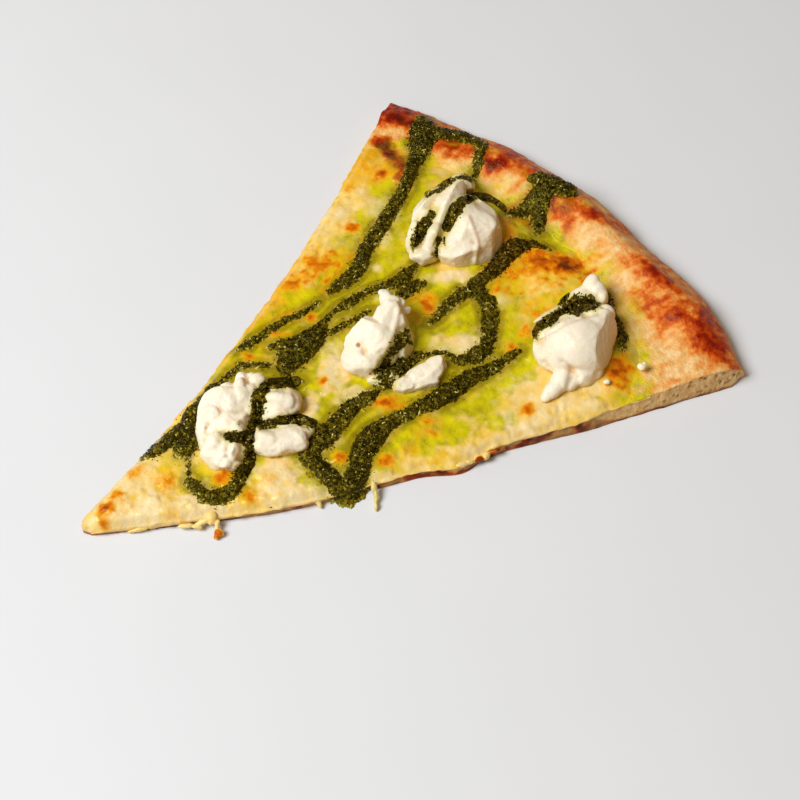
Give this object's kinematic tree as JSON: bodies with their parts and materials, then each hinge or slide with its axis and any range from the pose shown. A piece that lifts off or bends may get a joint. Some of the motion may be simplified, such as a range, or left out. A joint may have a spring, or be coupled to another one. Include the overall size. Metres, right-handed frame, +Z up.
{
  "type": "pesto pizza slice",
  "caption": "Thin triangular slice of cheese pizza with a puffed browned rim, spoonfuls of soft white cheese and ribbons of basil pesto, lying flat.",
  "frame": {"origin": "on the table, under the middle of the slice's box seen from above", "axes": "+Z up out of the topping, +Y from the tip towards the middle of the rim, +X to the right cut seen from above with the rim away"},
  "size_m": [0.1806, 0.2242, 0.026],
  "materials": {
    "baked_dough": "matte",
    "melted_cheese": "oily",
    "soft_white_cheese": "moist",
    "basil_pesto": "oily"
  },
  "bodies": {
    "root": {"dough": "baked_dough", "melted_cheese": "melted_cheese", "pesto_band": "basil_pesto", "pesto_band_tail": "basil_pesto", "pesto_by_cut_side_ricotta": "basil_pesto", "pesto_left_long": "basil_pesto", "pesto_left_short": "basil_pesto", "pesto_loop": "basil_pesto", "pesto_on_cut_side_ricotta": "basil_pesto", "pesto_on_middle_ricotta": "basil_pesto", "pesto_on_rim_ricotta": "basil_pesto", "pesto_on_rim_ricotta_fold": "basil_pesto", "pesto_on_tip_ricotta": "basil_pesto", "pesto_on_tip_ricotta_cross": "basil_pesto", "pesto_on_tip_ricotta_fold": "basil_pesto", "pesto_patch": "basil_pesto", "pesto_patch_knot": "basil_pesto", "pesto_patch_strand": "basil_pesto", "pesto_right_long": "basil_pesto", "pesto_rim_branch": "basil_pesto", "pesto_rim_hook": "basil_pesto", "pesto_rim_top": "basil_pesto", "pesto_tip_arc": "basil_pesto", "pesto_tip_bowl": "basil_pesto", "pesto_tip_patch": "basil_pesto", "pesto_turn": "basil_pesto", "ricotta_cut_side": "soft_white_cheese", "ricotta_lobe": "soft_white_cheese", "ricotta_middle": "soft_white_cheese", "ricotta_rim": "soft_white_cheese", "ricotta_tip": "soft_white_cheese"}
  },
  "joints": []
}
